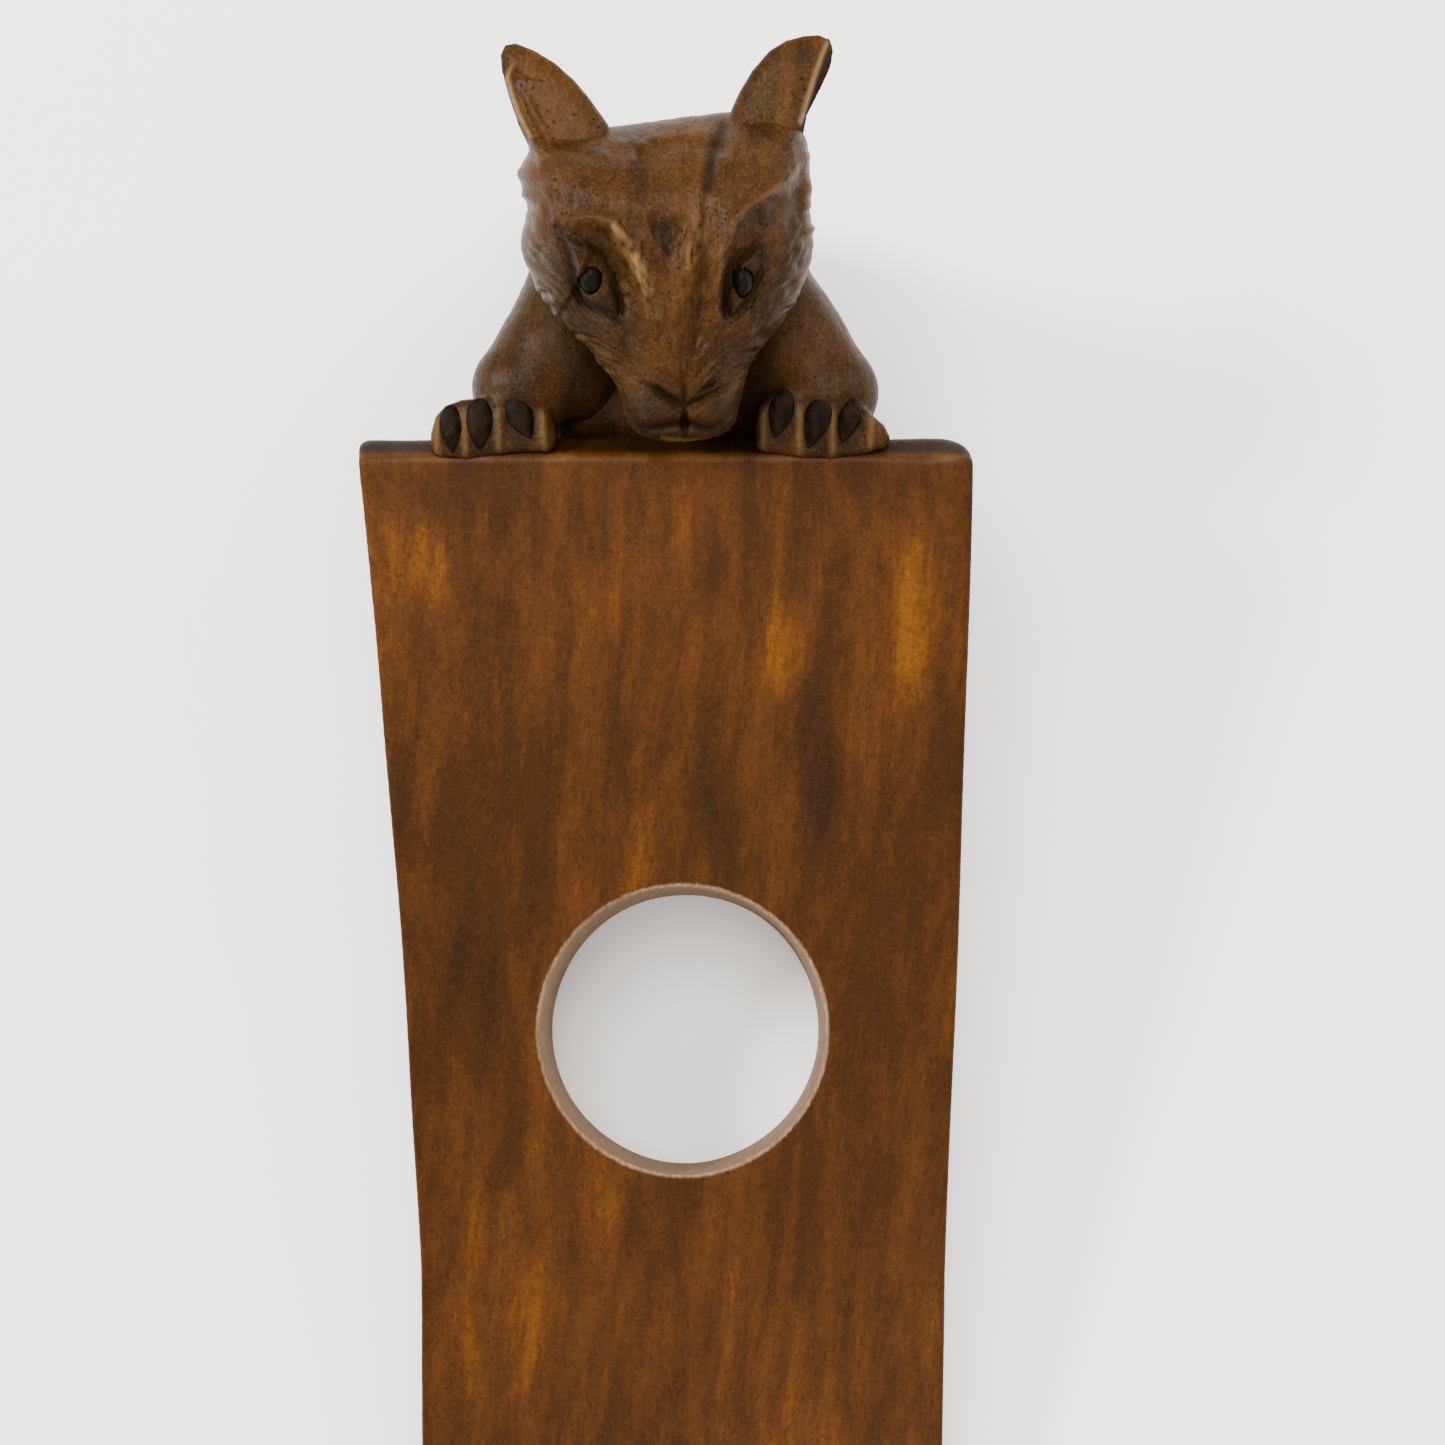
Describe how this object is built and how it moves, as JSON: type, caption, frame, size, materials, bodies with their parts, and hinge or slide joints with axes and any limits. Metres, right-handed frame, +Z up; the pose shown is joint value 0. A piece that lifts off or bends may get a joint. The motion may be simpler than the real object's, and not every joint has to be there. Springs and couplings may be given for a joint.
{
  "type": "door wedge",
  "caption": "Hand-carved hardwood door wedge: a tapered block with a round hang-up hole and a small carved animal peeking over its thick end.",
  "frame": {"origin": "on the axis of the round hang-up hole, at the flat underside of the block", "axes": "+Z up, square to the underside and along the hole; +Y from the thin end towards the thick end that carries the animal; +X to the right when facing the animal from the thin end"},
  "size_m": [0.0839, 0.2351, 0.0792],
  "materials": {
    "block_wood": "satin varnish",
    "carved_wood": "satin varnish",
    "eye_black": "gloss black bead",
    "claw_dark": "dark stained, satin"
  },
  "bodies": {
    "root": {"wedge_block": "block_wood", "torso": "carved_wood", "head": "carved_wood", "left_forelimb": "carved_wood", "right_forelimb": "carved_wood", "left_ear": "carved_wood", "right_ear": "carved_wood", "left_eye": "eye_black", "right_eye": "eye_black", "left_claws": "claw_dark", "right_claws": "claw_dark"}
  },
  "joints": []
}
